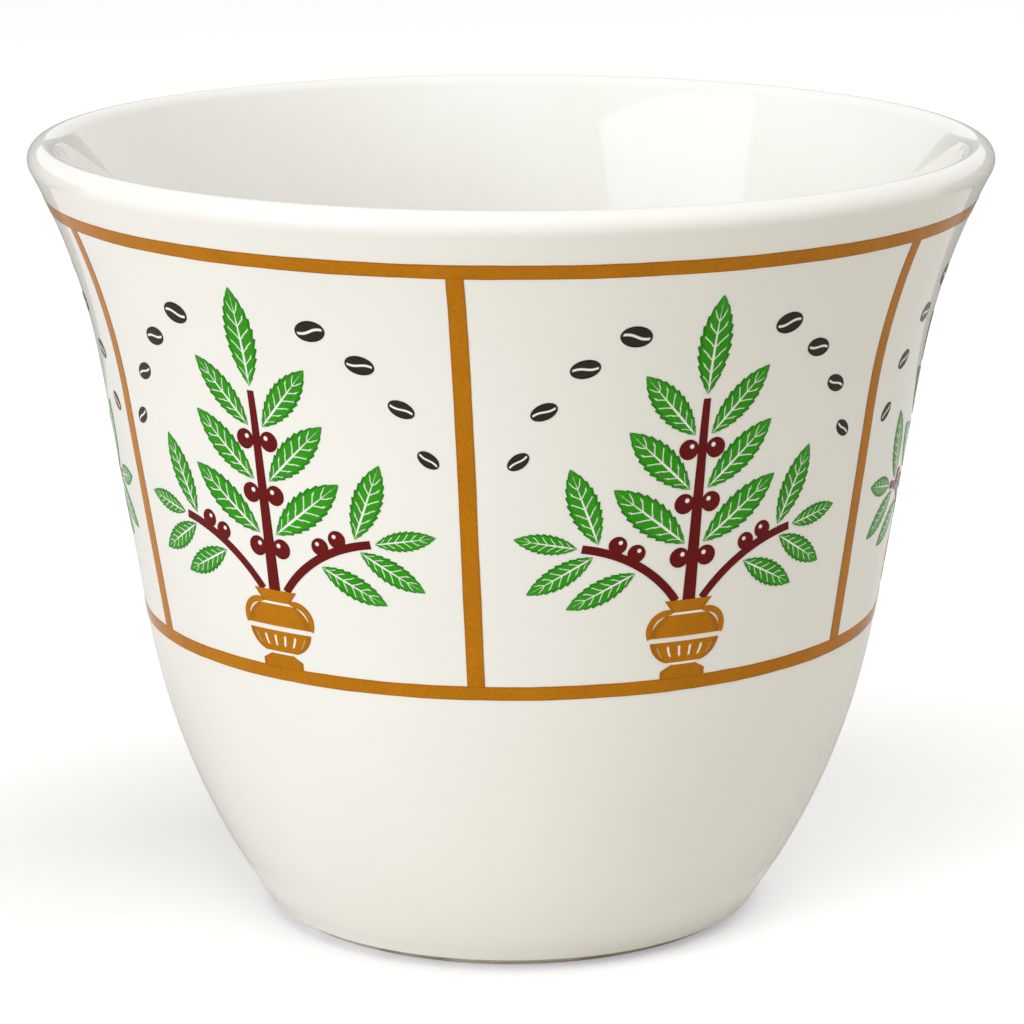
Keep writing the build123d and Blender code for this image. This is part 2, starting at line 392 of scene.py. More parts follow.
class PieceMesh:
    """Vertices, faces and UVs of one piece, gathered patch by patch as whole arrays."""

    def __init__(self, name: str) -> None:
        """Starts an empty piece.

        Args:
            name: Name of the piece.
        """
        self.name = name
        self.points: list[np.ndarray] = []
        self.uvs: list[np.ndarray] = []
        self.faces: list[list[int]] = []
        self.count = 0

    def _add(self, points: np.ndarray, uvs: np.ndarray, faces: list[np.ndarray]) -> None:
        """Adds a closed shell, turned so that its signed volume is positive.

        Args:
            points: Array of (n, 3) points.
            uvs: Array of (n, 2) UVs.
            faces: Arrays of face corners, each with its own number of corners.
        """
        centred = points - points.mean(axis=0)
        volume = sum(
            np.sum(centred[f[:, 0]] * np.cross(centred[f[:, k]], centred[f[:, k + 1]]))
            for f in faces
            for k in range(1, f.shape[1] - 1)
        )
        for corners in faces:
            ordered = corners if volume > 0 else corners[:, ::-1]
            self.faces.extend((ordered + self.count).tolist())
        self.points.append(points)
        self.uvs.append(uvs)
        self.count += len(points)

    def add_slab(self, top: np.ndarray, bottom: np.ndarray, uv: np.ndarray) -> None:
        """Adds a thin closed film: a grid of points above, the same grid below, and a strip round the edge.

        Args:
            top: Grid of (rows, columns, 3) points of the upper face.
            bottom: The same grid for the lower face.
            uv: Grid of (rows, columns, 2) UVs.
        """
        rows, columns = top.shape[:2]
        index = np.arange(rows * columns).reshape(rows, columns)
        corners = [index[:-1, :-1], index[1:, :-1], index[1:, 1:], index[:-1, 1:]]
        upper = np.stack(corners, axis=-1).reshape(-1, 4)
        lower = upper[:, ::-1] + rows * columns
        edge = np.concatenate([index[0, :-1], index[:-1, -1], index[-1, :0:-1], index[:0:-1, 0]])
        following = np.roll(edge, -1)
        strip = np.stack([edge, following, following + rows * columns, edge + rows * columns], axis=-1)
        points = np.concatenate([top.reshape(-1, 3), bottom.reshape(-1, 3)])
        uvs = np.concatenate([uv.reshape(-1, 2)] * 2)
        self._add(points, uvs, [np.concatenate([upper, lower, strip])])

    def add_band(self, top: np.ndarray, bottom: np.ndarray, uv: np.ndarray) -> None:
        """Adds a closed film that runs all round the cup: the grid's last row joins its first.

        Args:
            top: Grid of (rows round the cup, columns across, 3) points of the upper face.
            bottom: The same grid for the lower face.
            uv: Grid of (rows, columns, 2) UVs.
        """
        rows, columns = top.shape[:2]
        ring = np.concatenate([top, bottom[:, ::-1]], axis=1)
        index = np.arange(rows * 2 * columns).reshape(rows, 2 * columns)
        ahead = np.roll(index, -1, axis=0)
        beside, ahead_beside = np.roll(index, -1, axis=1), np.roll(ahead, -1, axis=1)
        faces = np.stack([index, ahead, ahead_beside, beside], axis=-1).reshape(-1, 4)
        uvs = np.concatenate([uv, uv[:, ::-1]], axis=1).reshape(-1, 2)
        self._add(ring.reshape(-1, 3), uvs, [faces])

    def add_turned(self, profile: np.ndarray, segments: int) -> None:
        """Adds a turned body: the profile carried round the axis, closed by a pole at each end.

        Args:
            profile: Points as (distance from the axis, height), the first and last on the axis.
            segments: Steps round the axis.
        """
        angles = 2 * pi * np.arange(segments) / segments
        rings = profile[1:-1]
        round_axis = np.stack([np.sin(angles), -np.cos(angles)], axis=-1)
        grid = np.empty((len(rings), segments, 3))
        grid[..., :2] = rings[:, None, :1] * round_axis
        grid[..., 2] = rings[:, 1:]
        index = np.arange(grid[..., 0].size).reshape(grid.shape[:2])
        beside = np.roll(index, -1, axis=1)
        quads = np.stack([index[:-1], beside[:-1], beside[1:], index[1:]], axis=-1).reshape(-1, 4)
        first, last = index.size, index.size + 1
        start_fan = np.stack([np.full(segments, first), beside[0], index[0]], axis=-1)
        end_fan = np.stack([index[-1], beside[-1], np.full(segments, last)], axis=-1)
        poles = np.array([[0, 0, profile[0, 1]], [0, 0, profile[-1, 1]]])
        share = np.linspace(0, 1, len(rings))
        uvs = np.stack(np.meshgrid(angles / (2 * pi), share), axis=-1).reshape(-1, 2)
        self._add(
            np.concatenate([grid.reshape(-1, 3), poles]),
            np.concatenate([uvs, [[0, 0], [0, 1]]]),
            [quads, np.concatenate([start_fan, end_fan])],
        )

    def make(self, sharp: float) -> bpy.types.Object:
        """Makes the Blender object, smooth except at edges that turn by more than an angle.

        Args:
            sharp: Angle in degrees past which an edge stays sharp.

        Returns:
            The object, at the origin.
        """
        mesh = bpy.data.meshes.new(self.name)
        mesh.from_pydata(np.concatenate(self.points), [], self.faces)
        corner = np.empty(len(mesh.loops), dtype=np.int32)
        mesh.loops.foreach_get("vertex_index", corner)
        layer = mesh.uv_layers.new(name=UV_LAYER)
        layer.data.foreach_set("uv", np.concatenate(self.uvs)[corner].astype(np.float32).ravel())
        mesh.shade_smooth()
        mesh.set_sharp_from_angle(angle=radians(sharp))
        mesh.update()
        return linked(self.name, mesh)


class NodeBoard:
    """A node tree with short ways to place nodes and wire them."""

    MIX_SHARE, MIX_BASE, MIX_OVER, MIX_COLOUR = 0, 6, 7, 2  # sockets of the mix node for colours

    def __init__(self, tree: bpy.types.NodeTree) -> None:
        """Works on the given tree."""
        self.tree = tree

    def place(self, kind: str, **settings: object) -> bpy.types.Node:
        """Places a node and sets its properties.

        Args:
            kind: Blender's name of the node type.
            settings: Properties and their values.

        Returns:
            The node.
        """
        made = self.tree.nodes.new(kind)
        for name, value in settings.items():
            setattr(made, name, value)
        return made

    def feed(self, target: Socket, source: object) -> None:
        """Wires an output into an input, or sets the input to a plain value.

        Args:
            target: The input.
            source: An output socket, a number or a colour.
        """
        if isinstance(source, bpy.types.NodeSocket):
            self.tree.links.new(source, target)
        else:
            target.default_value = source

    def math(self, operation: str, *values: object) -> Socket:
        """Places a math node.

        Args:
            operation: Blender's name of the operation.
            values: Sockets or numbers for its inputs, in order.

        Returns:
            Its output.
        """
        made = self.place("ShaderNodeMath", operation=operation)
        for target, value in zip(made.inputs, values):
            self.feed(target, value)
        return made.outputs[0]

    def below(self, value: Socket, limit: object, soft: float) -> Socket:
        """Mask that is 1 where a value lies below a limit, with a soft edge.

        Args:
            value: The value.
            limit: A socket or a number.
            soft: Half the width of the edge.

        Returns:
            The mask.
        """
        made = self.place("ShaderNodeMapRange", interpolation_type="SMOOTHSTEP")
        self.feed(made.inputs["Value"], self.math("SUBTRACT", value, limit))
        for name, number in (("From Min", -soft), ("From Max", soft), ("To Min", 1.0), ("To Max", 0.0)):
            made.inputs[name].default_value = number
        return made.outputs[0]

    def near(self, value: Socket, centre: float, half: float, soft: float) -> Socket:
        """Mask that is 1 where a value lies near another, with soft edges.

        Args:
            value: The value.
            centre: The number that it lies near.
            half: Half the width of the band.
            soft: Half the width of each edge.

        Returns:
            The mask.
        """
        return self.below(self.math("ABSOLUTE", self.math("SUBTRACT", value, centre)), half, soft)

    def noise(self, place: Socket, size: float, detail: float = 2.0) -> Socket:
        """Noise between about 0 and 1.

        Args:
            place: Coordinates in metres.
            size: Size of its features in metres.
            detail: How many finer layers it has.

        Returns:
            The noise value.
        """
        made = self.place("ShaderNodeTexNoise")
        self.feed(made.inputs["Vector"], place)
        made.inputs["Scale"].default_value = 1 / size
        made.inputs["Detail"].default_value = detail
        return made.outputs["Fac"]

    def blend(self, share: object, base: object, over: object, way: str = "MIX") -> Socket:
        """Mixes two colours.

        Args:
            share: How much of the second colour, a socket or a number.
            base: First colour.
            over: Second colour.
            way: Blender's name of the way they mix.

        Returns:
            The mixed colour.
        """
        made = self.place("ShaderNodeMix", data_type="RGBA", blend_type=way)
        self.feed(made.inputs[self.MIX_SHARE], share)
        for place, colour in ((self.MIX_BASE, base), (self.MIX_OVER, over)):
            plain = not isinstance(colour, bpy.types.NodeSocket)
            self.feed(made.inputs[place], (*colour, 1.0) if plain else colour)
        return made.outputs[self.MIX_COLOUR]


def new_group(name: str, inputs: dict[str, str], outputs: dict[str, str]) -> NodeBoard:
    """Starts a shader node group.

    Args:
        name: Name of the group.
        inputs: Socket names and types.
        outputs: Socket names and types.

    Returns:
        A board on the group's tree, with its input and output nodes placed.
    """
    tree = bpy.data.node_groups.new(name, "ShaderNodeTree")
    for direction, sockets in (("INPUT", inputs), ("OUTPUT", outputs)):
        for label, kind in sockets.items():
            tree.interface.new_socket(name=label, in_out=direction, socket_type=kind)
    board = NodeBoard(tree)
    board.place("NodeGroupInput", name="in")
    board.place("NodeGroupOutput", name="out")
    return board


@dataclass(frozen=True)
class SharedEffects:
    """Node groups that the finishes share, each built when it is first used."""

    screen_size: float = 0.16 * MM
    shade_size: float = 3.2 * MM
    screen_share: float = 0.6
    grain_swing: float = 4.0
    wave_size: float = 9 * MM
    ripple_size: float = 2.4 * MM
    ripple_height: float = 0.25
    ripple_dulling: float = 0.04
    pinhole_spacing: float = 4.5 * MM
    pinhole_half: float = 0.022
    pinhole_soft: float = 0.012
    pinhole_dark: float = 0.6
    pinhole_depth: float = 0.1

    @cached_property
    def fired_grain(self) -> bpy.types.NodeTree:
        """Fine printing screen and broad firing shade that vary a colour.

        Returns:
            The group, with Colour and Depth in, and Colour and Height out.
        """
        board = new_group(
            "fired_grain",
            {"Colour": "NodeSocketColor", "Depth": "NodeSocketFloat"},
            {"Colour": "NodeSocketColor", "Height": "NodeSocketFloat"},
        )
        source, sink = board.tree.nodes["in"], board.tree.nodes["out"]
        place = board.place("ShaderNodeTexCoord").outputs["Object"]
        screen = board.noise(place, self.screen_size, detail=1.0)
        shade = board.noise(place, self.shade_size, detail=2.0)
        shaded = board.math("MULTIPLY", shade, 1 - self.screen_share)
        both = board.math("MULTIPLY_ADD", screen, self.screen_share, shaded)
        swing = board.math("MULTIPLY", board.math("SUBTRACT", both, 0.5), source.outputs["Depth"])
        level = board.math("MULTIPLY_ADD", swing, self.grain_swing, 1.0)
        grey = board.place("ShaderNodeCombineColor")
        for channel in grey.inputs:
            board.feed(channel, level)
        varied = board.blend(1.0, source.outputs["Colour"], grey.outputs[0], "MULTIPLY")
        board.feed(sink.inputs["Colour"], varied)
        board.feed(sink.inputs["Height"], screen)
        return board.tree

    @cached_property
    def glaze_flow(self) -> bpy.types.NodeTree:
        """Soft waves of a glaze that flowed in the kiln, with a few pinholes.

        Returns:
            The group, with Waves and Gloss in, and Tone, Height and Roughness out.
        """
        board = new_group(
            "glaze_flow",
            {"Waves": "NodeSocketFloat", "Gloss": "NodeSocketFloat"},
            {"Tone": "NodeSocketFloat", "Height": "NodeSocketFloat", "Roughness": "NodeSocketFloat"},
        )
        source, sink = board.tree.nodes["in"], board.tree.nodes["out"]
        place = board.place("ShaderNodeTexCoord").outputs["Object"]
        broad = board.noise(place, self.wave_size, detail=1.0)
        ripple = board.noise(place, self.ripple_size, detail=1.0)
        cells = board.place("ShaderNodeTexVoronoi", feature="F1")
        board.feed(cells.inputs["Vector"], place)
        cells.inputs["Scale"].default_value = 1 / self.pinhole_spacing
        pinhole = board.below(cells.outputs["Distance"], self.pinhole_half, self.pinhole_soft)
        surface = board.math("MULTIPLY_ADD", ripple, self.ripple_height, broad)
        waves = board.math("MULTIPLY", surface, source.outputs["Waves"])
        dark = board.math("MULTIPLY", pinhole, self.pinhole_dark)
        deep = board.math("MULTIPLY", pinhole, self.pinhole_depth)
        dulled = board.math("MULTIPLY_ADD", ripple, self.ripple_dulling, source.outputs["Gloss"])
        board.feed(sink.inputs["Tone"], board.math("SUBTRACT", broad, dark))
        board.feed(sink.inputs["Height"], board.math("SUBTRACT", waves, deep))
        board.feed(sink.inputs["Roughness"], dulled)
        return board.tree


def principled(name: str) -> tuple[bpy.types.Material, NodeBoard, bpy.types.Node]:
    """Starts a material on Blender's principled shader.

    Args:
        name: Name of the material.

    Returns:
        The material, a board on its tree and its shader node.
    """
    made = bpy.data.materials.new(name)
    made.use_nodes = True
    return made, NodeBoard(made.node_tree), made.node_tree.nodes["Principled BSDF"]


def bump(board: NodeBoard, height: Socket, strength: float, distance: float) -> Socket:
    """Places a bump node.

    Args:
        board: Board of the material.
        height: Height value.
        strength: Share of the effect.
        distance: Depth in metres.

    Returns:
        The bumped normal.
    """
    made = board.place("ShaderNodeBump")
    made.inputs["Strength"].default_value = strength
    made.inputs["Distance"].default_value = distance
    board.feed(made.inputs["Height"], height)
    return made.outputs[0]


@dataclass(frozen=True)
class GlazeFinish:
    """White tin glaze, glossy, a little warmer where it lies thick."""

    name: str = "white_glaze"
    thin: Colour = (0.89, 0.88, 0.845)
    thick: Colour = (0.86, 0.845, 0.80)
    gloss: float = 0.03
    ior: float = 1.5
    waves: float = 1.0
    relief: float = 0.12
    relief_depth: float = 0.06 * MM

    def material(self, effects: SharedEffects) -> bpy.types.Material:
        """Builds the material.

        Args:
            effects: The shared node groups.

        Returns:
            The material.
        """
        made, board, shader = principled(self.name)
        flow = board.place("ShaderNodeGroup", node_tree=effects.glaze_flow)
        flow.inputs["Waves"].default_value = self.waves
        flow.inputs["Gloss"].default_value = self.gloss
        normal = bump(board, flow.outputs["Height"], self.relief, self.relief_depth)
        board.feed(shader.inputs["Base Color"], board.blend(flow.outputs["Tone"], self.thick, self.thin))
        board.feed(shader.inputs["Roughness"], flow.outputs["Roughness"])
        board.feed(shader.inputs["Normal"], normal)
        shader.inputs["IOR"].default_value = self.ior
        return made


@dataclass(frozen=True)
class BiscuitFinish:
    """Bare fired clay of the foot ring: matt, warm and grainy, with stains from the kiln shelf."""

    name: str = "bare_biscuit"
    clay: Colour = (0.66, 0.60, 0.50)
    stain: Colour = (0.42, 0.33, 0.23)
    stain_size: float = 4 * MM
    stain_level: float = 0.5
    stain_soft: float = 0.18
    grain_depth: float = 0.35
    roughness: float = 0.7
    stain_roughness: float = 0.15
    relief: float = 0.4
    relief_depth: float = 0.03 * MM

    def material(self, effects: SharedEffects) -> bpy.types.Material:
        """Builds the material.

        Args:
            effects: The shared node groups.

        Returns:
            The material.
        """
        made, board, shader = principled(self.name)
        place = board.place("ShaderNodeTexCoord").outputs["Object"]
        blots = board.noise(place, self.stain_size, detail=3.0)
        patch = board.below(blots, self.stain_level, self.stain_soft)
        grain = board.place("ShaderNodeGroup", node_tree=effects.fired_grain)
        board.feed(grain.inputs["Colour"], board.blend(patch, self.clay, self.stain))
        grain.inputs["Depth"].default_value = self.grain_depth
        normal = bump(board, grain.outputs["Height"], self.relief, self.relief_depth)
        roughness = board.math("MULTIPLY_ADD", patch, self.stain_roughness, self.roughness)
        board.feed(shader.inputs["Base Color"], grain.outputs["Colour"])
        board.feed(shader.inputs["Normal"], normal)
        board.feed(shader.inputs["Roughness"], roughness)
        return made


@dataclass(frozen=True)
class Spot:
    """Where a point lies in its drawing: shares of length and width, and off the middle, 1 at the edge."""

    along: Socket
    side: Socket
    off_middle: Socket


def drawing_spot(board: NodeBoard) -> Spot:
    """Reads where a point lies in its drawing from the piece's own UVs.

    Args:
        board: Board of the material.

    Returns:
        The spot.
    """
    split = board.place("ShaderNodeSeparateXYZ")
    board.feed(split.inputs[0], board.place("ShaderNodeUVMap", uv_map=UV_LAYER).outputs[0])
    along, side = split.outputs[0], split.outputs[1]
    off_middle = board.math("ABSOLUTE", board.math("SUBTRACT", side, 0.5))
    return Spot(along, side, board.math("MULTIPLY", off_middle, 2.0))


class Reserve:
    """What a print leaves bare: nothing, for a plain line. Sizes are shares of the drawing's own."""

    def mask(self, board: NodeBoard, spot: Spot) -> Socket | None:
        """Mask of the bare glaze.

        Args:
            board: Board of the material.
            spot: Where a point lies in the drawing.

        Returns:
            1 where the glaze is bare, or None where the print covers it all.
        """
        return None


@dataclass(frozen=True)
class LeafVeins(Reserve):
    """White midrib that thins towards the tip, and side veins that slant towards it."""

    rib_half: float = 0.125
    rib_taper: float = -0.13
    vein_count: float = 7.5
    vein_slant: float = -0.17
    vein_half: float = 0.07
    vein_soft: float = 0.035
    vein_reach: float = 0.7
    reach_soft: float = 0.06
    last_vein: float = 0.86
    last_soft: float = 0.05
    vein_white: float = 0.85

    def mask(self, board: NodeBoard, spot: Spot) -> Socket:
        """Mask of the midrib and the veins.

        Args:
            board: Board of the material.
            spot: Where a point lies in the leaf.

        Returns:
            1 where the glaze is bare.
        """
        rib_half = board.math("MULTIPLY_ADD", spot.along, self.rib_taper, self.rib_half)
        rib = board.below(spot.off_middle, rib_half, self.vein_soft)
        slanted = board.math("MULTIPLY_ADD", spot.off_middle, self.vein_slant, spot.along)
        share = board.math("FRACT", board.math("MULTIPLY", slanted, self.vein_count))
        vein = board.near(share, 0.5, self.vein_half, self.vein_soft)
        reach = board.below(spot.off_middle, self.vein_reach, self.reach_soft)
        before_tip = board.below(spot.along, self.last_vein, self.last_soft)
        veins = board.math("MULTIPLY", board.math("MULTIPLY", vein, reach), before_tip)
        return board.math("MAXIMUM", rib, board.math("MULTIPLY", veins, self.vein_white))


@dataclass(frozen=True)
class BerryShine(Reserve):
    """Small round shine on each berry; stems have UVs outside it."""

    centre: tuple[float, float] = (0.36, 0.66)
    radius: float = 0.11
    soft: float = 0.03

    def mask(self, board: NodeBoard, spot: Spot) -> Socket:
        """Mask of the shine.

        Args:
            board: Board of the material.
            spot: Where a point lies in the berry.

        Returns:
            1 where the glaze is bare.
        """
        right = board.math("POWER", board.math("SUBTRACT", spot.along, self.centre[0]), 2.0)
        above = board.math("POWER", board.math("SUBTRACT", spot.side, self.centre[1]), 2.0)
        return board.below(board.math("SQRT", board.math("ADD", right, above)), self.radius, self.soft)


@dataclass(frozen=True)
class BeanSlit(Reserve):
    """Wavy slit along the middle of a bean."""

    sway: float = 0.07
    half: float = 0.06
    soft: float = 0.025
    reach: float = 0.42
    reach_soft: float = 0.03

    def mask(self, board: NodeBoard, spot: Spot) -> Socket:
        """Mask of the slit, which sways by one sine wave along the bean.

        Args:
            board: Board of the material.
            spot: Where a point lies in the bean.

        Returns:
            1 where the glaze is bare.
        """
        wave = board.math("SINE", board.math("MULTIPLY", spot.along, 2 * pi))
        swayed = board.math("MULTIPLY_ADD", wave, self.sway, spot.side)
        slit = board.near(swayed, 0.5, self.half, self.soft)
        return board.math("MULTIPLY", slit, board.near(spot.along, 0.5, self.reach, self.reach_soft))


@dataclass(frozen=True)
class VaseFlutes(Reserve):
    """Pin lines near the mouth and foot of the vase, and short flutes under its band."""

    pin_lines: tuple[float, float] = (0.83, 0.185)
    pin_half: float = 0.014
    pin_soft: float = 0.006
    flute_count: float = 6.0
    flute_half: float = 0.1
    flute_soft: float = 0.05
    flute_middle: float = 0.345
    flute_reach: float = 0.065
    reach_soft: float = 0.015
    flutes_half: float = 0.8
    flutes_soft: float = 0.05

    def mask(self, board: NodeBoard, spot: Spot) -> Socket:
        """Mask of the pin lines and the flutes.

        Args:
            board: Board of the material.
            spot: Where a point lies in the vase.

        Returns:
            1 where the glaze is bare.
        """
        pins = [board.near(spot.along, place, self.pin_half, self.pin_soft) for place in self.pin_lines]
        share = board.math("FRACT", board.math("MULTIPLY", spot.side, self.flute_count))
        flute = board.near(share, 0.5, self.flute_half, self.flute_soft)
        reach = board.near(spot.along, self.flute_middle, self.flute_reach, self.reach_soft)
        inside = board.below(spot.off_middle, self.flutes_half, self.flutes_soft)
        flutes = board.math("MULTIPLY", board.math("MULTIPLY", flute, reach), inside)
        return board.math("MAXIMUM", board.math("MAXIMUM", *pins), flutes)


RESERVES: dict[Motif, Reserve] = {
    Motif.LINE: Reserve(),
    Motif.LEAF: LeafVeins(),
    Motif.BERRY: BerryShine(),
    Motif.BEAN: BeanSlit(),
    Motif.VASE: VaseFlutes(),
}


@dataclass(frozen=True)
class EnamelFinish:
    """Coloured enamel fired over the glaze: glossy, with the grain of its printing screen."""

    slot: Slot
    colour: Colour
    edge: Colour
    bare: Colour = (0.92, 0.91, 0.875)
    edge_start: float = 0.84
    edge_soft: float = 0.1
    grain_depth: float = 0.18
    shine: float = 0.08
    roughness: float = 0.08
    grain_roughness: float = 0.12
    relief: float = 0.05
    relief_depth: float = 0.01 * MM

    def material(self, effects: SharedEffects, motif: Motif) -> bpy.types.Material:
        """Builds the material for one motif.

        Args:
            effects: The shared node groups.
            motif: What the print draws.

        Returns:
            The material.
        """
        made, board, shader = principled(f"{self.slot.value}_{motif.value}")
        spot = drawing_spot(board)
        inner = board.below(spot.off_middle, self.edge_start, self.edge_soft)
        grain = board.place("ShaderNodeGroup", node_tree=effects.fired_grain)
        board.feed(grain.inputs["Colour"], board.blend(inner, self.edge, self.colour))
        grain.inputs["Depth"].default_value = self.grain_depth
        colour, height = grain.outputs["Colour"], grain.outputs["Height"]
        reserve = RESERVES[motif].mask(board, spot)
        if reserve is not None:
            colour = board.blend(reserve, colour, self.bare)
        roughness = board.math("MULTIPLY_ADD", height, self.grain_roughness, self.roughness)
        board.feed(shader.inputs["Base Color"], colour)
        board.feed(shader.inputs["Roughness"], roughness)
        board.feed(shader.inputs["Normal"], bump(board, height, self.relief, self.relief_depth))
        shader.inputs["Specular IOR Level"].default_value = self.shine
        return made


OCHRE_ENAMEL = EnamelFinish(Slot.OCHRE, colour=(0.475, 0.172, 0.003), edge=(0.395, 0.137, 0.003))
GREEN_ENAMEL = EnamelFinish(Slot.GREEN, colour=(0.033, 0.305, 0.008), edge=(0.017, 0.195, 0.005))
MAROON_ENAMEL = EnamelFinish(Slot.MAROON, colour=(0.140, 0.007, 0.007), edge=(0.098, 0.005, 0.005))
BLACK_ENAMEL = EnamelFinish(Slot.BLACK, colour=(0.030, 0.023, 0.017), edge=(0.020, 0.015, 0.011))


@dataclass
class Workshop:
    """Section, finishes and ways to place a piece that every sub-assembly shares."""

    section: CupSection = field(default_factory=CupSection)
    effects: SharedEffects = field(default_factory=SharedEffects)

    def place(self, mesh: PieceMesh, finish: bpy.types.Material, slot: Slot, node: str, sharp: float) -> None:
        """Makes a piece, dresses it and lets it stand for its CAD node.

        Args:
            mesh: The gathered mesh.
            finish: Its material.
            slot: Material slot of the record; not used.
            node: The CAD node that it replaces.
            sharp: Angle in degrees past which an edge stays sharp.
        """
        piece = mesh.make(sharp)
        piece.data.materials.append(finish)
        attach(piece, BODY)
        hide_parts(node)
        LOG.info("%s: %d points, %d faces", piece.name, len(piece.data.vertices), len(piece.data.polygons))


@dataclass
class Pot:
    """The fired body, its glaze and the glaze under the foot, all turned about the axis."""

    shop: Workshop
    segments: int = 256
    fine: int = 28
    hidden_fine: int = 12
    bead_points: int = 9
    sharp: float = 45.0

    def build(self) -> None:
        """Builds and dresses the three turned pieces."""
        glaze = GlazeFinish().material(self.shop.effects)
        biscuit = BiscuitFinish().material(self.shop.effects)
        for name, profile, finish, slot, node in (
            ("fired_body", self.body_profile(), biscuit, Slot.PORCELAIN, "porcelain_body"),
            ("glaze_skin", self.glaze_profile(), glaze, Slot.GLAZE, "glaze_coat"),
            ("foot_glaze", self.base_profile(), glaze, Slot.GLAZE, "base_glaze"),
        ):
            mesh = PieceMesh(name)
            mesh.add_turned(profile, self.segments)
            self.shop.place(mesh, finish, slot, node, self.sharp)

    def skin_profile(self, depth: float, fine: int) -> np.ndarray:
        """Outside, lip and inside at a depth below the glazed surface.

        Args:
            depth: The depth.
            fine: Points along each stretch.

        Returns:
            Points from the glaze's lower edge to the middle of the floor.
        """
        cup = self.shop.section
        return np.vstack([cup.outside(depth, fine)[:-1], cup.inside(depth, fine)])

    def body_profile(self) -> np.ndarray:
        """Half section of the body: recess, foot ring, foot rounding, outside, lip and inside.

        Returns:
            Points from the middle of the recess to the middle of the floor.
        """
        cup = self.shop.section
        foot = np.array([cup.foot_centre[0], 0])
        ring_inner = np.array([foot[0] - cup.foot_ring_width, 0])
        ceiling = np.array([cup.recess_radius, cup.recess_depth])
        start = np.array([[0, cup.recess_depth], ceiling, ring_inner])
        rounded = arc(cup.foot_centre, foot, cup.foot_tangent, self.bead_points)
        return np.vstack([start, rounded, self.skin_profile(cup.glaze_thickness, self.hidden_fine)])

    def glaze_profile(self) -> np.ndarray:
        """Half section of the glaze: its inner side, a rounded lower edge and the skin that shows.

        Returns:
            Points from the middle of the floor under the glaze to the middle of the floor on it.
        """
        under = self.skin_profile(self.shop.section.glaze_thickness, self.hidden_fine)[::-1]
        skin = self.skin_profile(0, self.fine)
        middle = (under[-1] + skin[0]) / 2
        reach = skin[0] - middle
        across = np.array([reach[1], -reach[0]])
        angles = np.linspace(0, pi, self.bead_points)[1:-1, None]
        bead = middle - reach * np.cos(angles) + across * np.sin(angles)
        return np.vstack([under, bead, skin])

    def base_profile(self) -> np.ndarray:
        """Half section of the disc of glaze in the recess, with a rounded lower edge.

        Returns:
            Points from its lower middle to its upper middle.
        """
        cup = self.shop.section
        edge = cup.recess_radius - cup.base_glaze_margin
        top, low = cup.recess_depth, cup.recess_depth - cup.glaze_thickness
        centre = np.array([edge - cup.glaze_thickness, top])
        rounded = arc(centre, np.array([centre[0], low]), np.array([edge, top]), self.bead_points)
        flat = np.linspace(0, 1, self.hidden_fine)[:-1, None] * [centre[0], 0] + [0, low]
        return np.vstack([flat, rounded, [0, top]])


